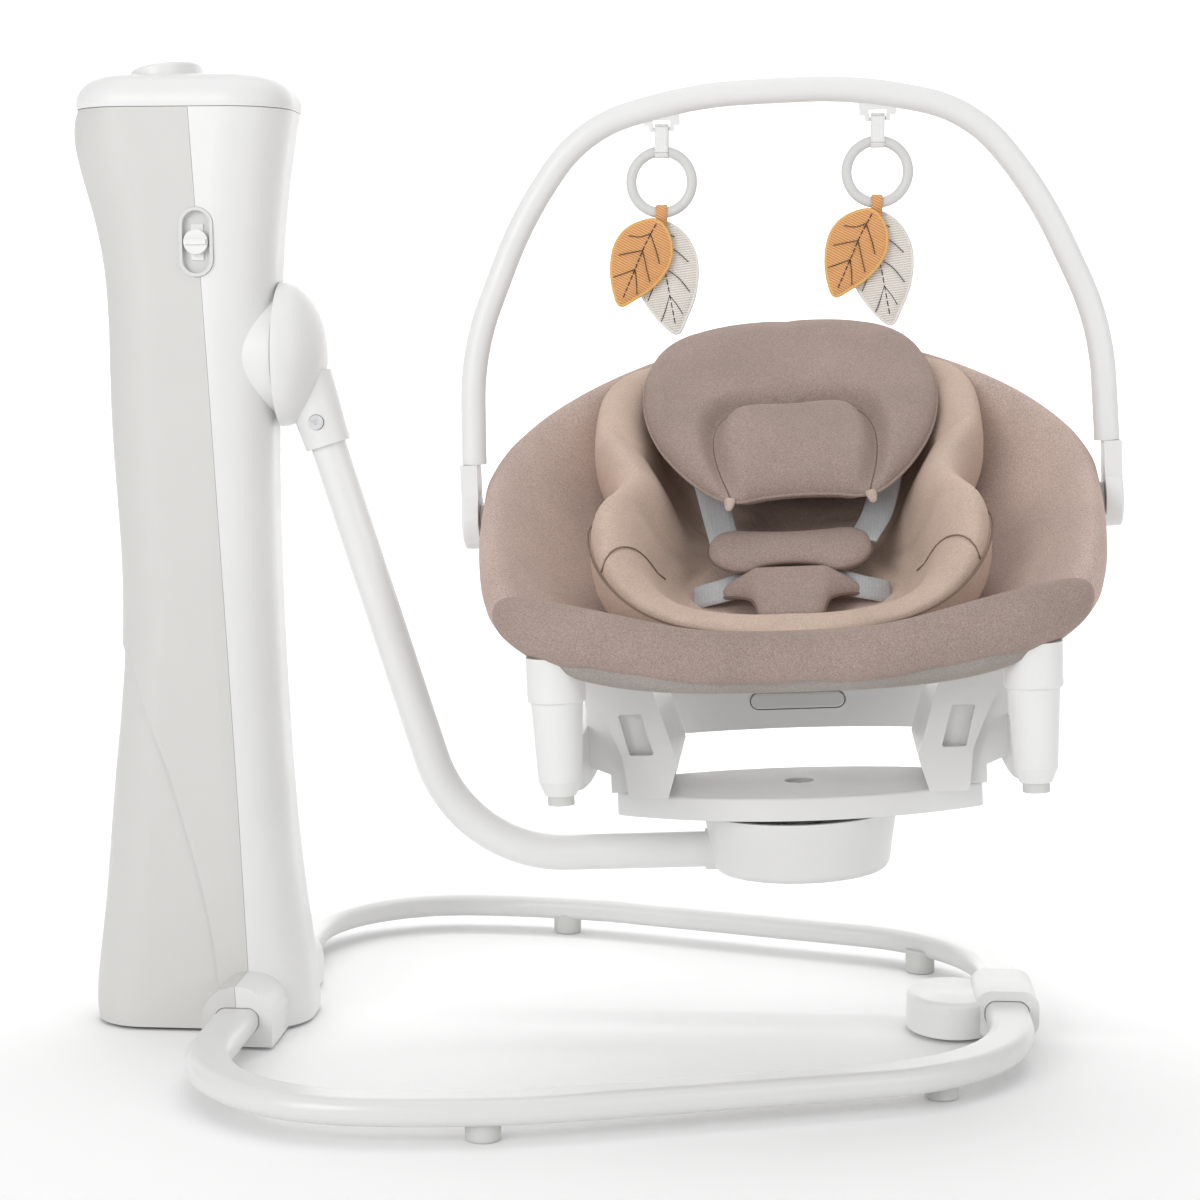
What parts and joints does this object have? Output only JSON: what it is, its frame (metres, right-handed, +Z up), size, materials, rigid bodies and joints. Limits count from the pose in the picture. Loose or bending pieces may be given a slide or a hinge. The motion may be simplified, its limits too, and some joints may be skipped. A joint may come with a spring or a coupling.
{
  "type": "baby swing with removable rocker seat",
  "caption": "Baby swing: a drive tower on an egg-shaped floor ring, a side arm and a swivelling carrier plate that holds a removable padded rocker seat with a toy bar.",
  "frame": {"origin": "on the floor under the middle of the bounding box", "axes": "+Z up; the tower stands at -X; at rest the seat faces -Y"},
  "size_m": [0.9178, 0.752, 0.8552],
  "materials": {
    "tower_plastic": "satin light warm-grey moulded plastic",
    "white_plastic": "satin white moulded plastic",
    "ring_paint": "white powder-coated tube, satin",
    "arm_paint": "white powder-coated tube, satin",
    "cover_fabric": "brushed melange taupe fabric",
    "insert_fabric": "soft short-pile beige fabric",
    "strap_webbing": "grey woven webbing",
    "orange_cloth": "orange corduroy",
    "leaf_grey_cloth": "pale grey-beige corduroy",
    "toy_strap_cloth": "white ribbon",
    "switch_grey": "satin grey plastic",
    "buckle_plastic": "satin grey plastic",
    "rubber_grey": "matt pale grey rubber",
    "ring_grey_plastic": "satin pale grey moulded plastic",
    "steel": "zinc-plated steel",
    "bearing_plastic": "natural acetal",
    "circuit_green": "green laminate",
    "battery_metal": "dark cell jackets in a tray",
    "motor_metal": "steel can",
    "black_plastic": "matt black plastic"
  },
  "bodies": {
    "base": {"tower_outer_shell": "tower_plastic", "tower_inner_shell": "white_plastic", "tower_cap": "white_plastic", "control_pod": "white_plastic", "switch_bezel": "switch_grey", "tower_floor": "black_plastic", "battery_pack": "battery_metal", "drive_frame": "steel", "pivot_bearings": "bearing_plastic", "drive_motor": "motor_metal", "circuit_board": "circuit_green", "speaker": "black_plastic", "power_jack": "black_plastic", "ring_tube_front": "ring_paint", "ring_tube_rear": "ring_paint", "ring_feet": "rubber_grey", "ring_coupler": "white_plastic"},
    "battery_cover": {"battery_door": "tower_plastic"},
    "switch_knob": {"mode_switch": "white_plastic"},
    "button_1": {"pod_button_1": "switch_grey"},
    "button_2": {"pod_button_2": "switch_grey"},
    "button_3": {"pod_button_3": "switch_grey"},
    "crank": {"crank_disc": "bearing_plastic"},
    "arm": {"arm_tube": "arm_paint", "arm_knuckle": "white_plastic", "arm_fastener": "steel", "pivot_shaft": "steel", "hub_cup": "white_plastic", "hub_spindle": "steel", "swivel_bolt": "steel"},
    "carrier": {"carrier_plate": "white_plastic", "swivel_bush": "bearing_plastic"},
    "seat": {"rocker_side_left": "white_plastic", "rocker_side_right": "white_plastic", "leg_sleeves": "white_plastic", "leg_feet": "rubber_grey", "rear_crossbar": "white_plastic", "seat_hoop": "arm_paint", "seat_cover": "cover_fabric", "body_support": "insert_fabric", "head_support": "cover_fabric", "chest_pad": "cover_fabric", "crotch_pad": "cover_fabric", "buckle": "buckle_plastic", "shoulder_straps": "strap_webbing", "lap_straps": "strap_webbing", "bar_brackets": "white_plastic"},
    "handle": {"release_handle": "switch_grey"},
    "toy_arch": {"toy_bar": "white_plastic", "bar_knuckles": "white_plastic", "toy_hangers": "white_plastic"},
    "toy_left": {"toy_strap_left": "toy_strap_cloth", "toy_ring_left": "ring_grey_plastic"},
    "leaves_left": {"leaf_front_left": "orange_cloth", "leaf_back_left": "leaf_grey_cloth"},
    "toy_right": {"toy_strap_right": "toy_strap_cloth", "toy_ring_right": "ring_grey_plastic"},
    "leaves_right": {"leaf_front_right": "orange_cloth", "leaf_back_right": "leaf_grey_cloth"}
  },
  "joints": [
    {"name": "arm_swing", "type": "hinge", "parent": "base", "child": "arm", "pos_m": [-0.2814, 0, 0.6], "axis": [1, 0, 0], "range_deg": [-12, 12]},
    {"name": "seat_swivel", "type": "hinge", "parent": "arm", "child": "carrier", "pos_m": [0.18195, 0, 0.19], "axis": [-0.0427, 0, 0.9991], "range_deg": [0, 180]},
    {"name": "seat_lift_off", "type": "slide", "parent": "carrier", "child": "seat", "axis": [-0.0427, 0, 0.9991], "range_m": [0, 0.2]},
    {"name": "toy_bar_turn", "type": "hinge", "parent": "seat", "child": "toy_arch", "pos_m": [0.17019, 0, 0.46475], "axis": [0.9991, 0, 0.0427], "range_deg": [-13, 40]},
    {"name": "handle_pull", "type": "slide", "parent": "seat", "child": "handle", "axis": [0, 1, 0], "range_m": [0, 0.006], "stiffness_N_per_m": 800},
    {"name": "battery_door_off", "type": "slide", "parent": "base", "child": "battery_cover", "axis": [0, 1, 0], "range_m": [0, 0.08]},
    {"name": "mode_switch_slide", "type": "slide", "parent": "base", "child": "switch_knob", "axis": [0, 0, 1], "range_m": [-0.009, 0.009]},
    {"name": "crank_turn", "type": "hinge", "parent": "base", "child": "crank", "pos_m": [-0.3291, 0, 0.54], "axis": [1, 0, 0], "continuous": true},
    {"name": "button_1_press", "type": "slide", "parent": "base", "child": "button_1", "axis": [0.1564, 0, -0.9877], "range_m": [0, 0.0012], "stiffness_N_per_m": 1500},
    {"name": "button_2_press", "type": "slide", "parent": "base", "child": "button_2", "axis": [0.1564, 0, -0.9877], "range_m": [0, 0.0012], "stiffness_N_per_m": 1500},
    {"name": "button_3_press", "type": "slide", "parent": "base", "child": "button_3", "axis": [0.1564, 0, -0.9877], "range_m": [0, 0.0012], "stiffness_N_per_m": 1500},
    {"name": "toy_left_swing", "type": "hinge", "parent": "toy_arch", "child": "toy_left", "pos_m": [0.05696, 0, 0.79521], "axis": [0.9991, 0, 0.0427], "range_deg": [-25, 25]},
    {"name": "leaves_left_swing", "type": "hinge", "parent": "toy_left", "child": "leaves_left", "pos_m": [0.05696, 0, 0.72321], "axis": [1, 0, 0], "range_deg": [-25, 25]},
    {"name": "toy_right_swing", "type": "hinge", "parent": "toy_arch", "child": "toy_right", "pos_m": [0.24379, 0, 0.8032], "axis": [0.9991, 0, 0.0427], "range_deg": [-25, 25]},
    {"name": "leaves_right_swing", "type": "hinge", "parent": "toy_right", "child": "leaves_right", "pos_m": [0.24379, 0, 0.7312], "axis": [1, 0, 0], "range_deg": [-25, 25]}
  ]
}
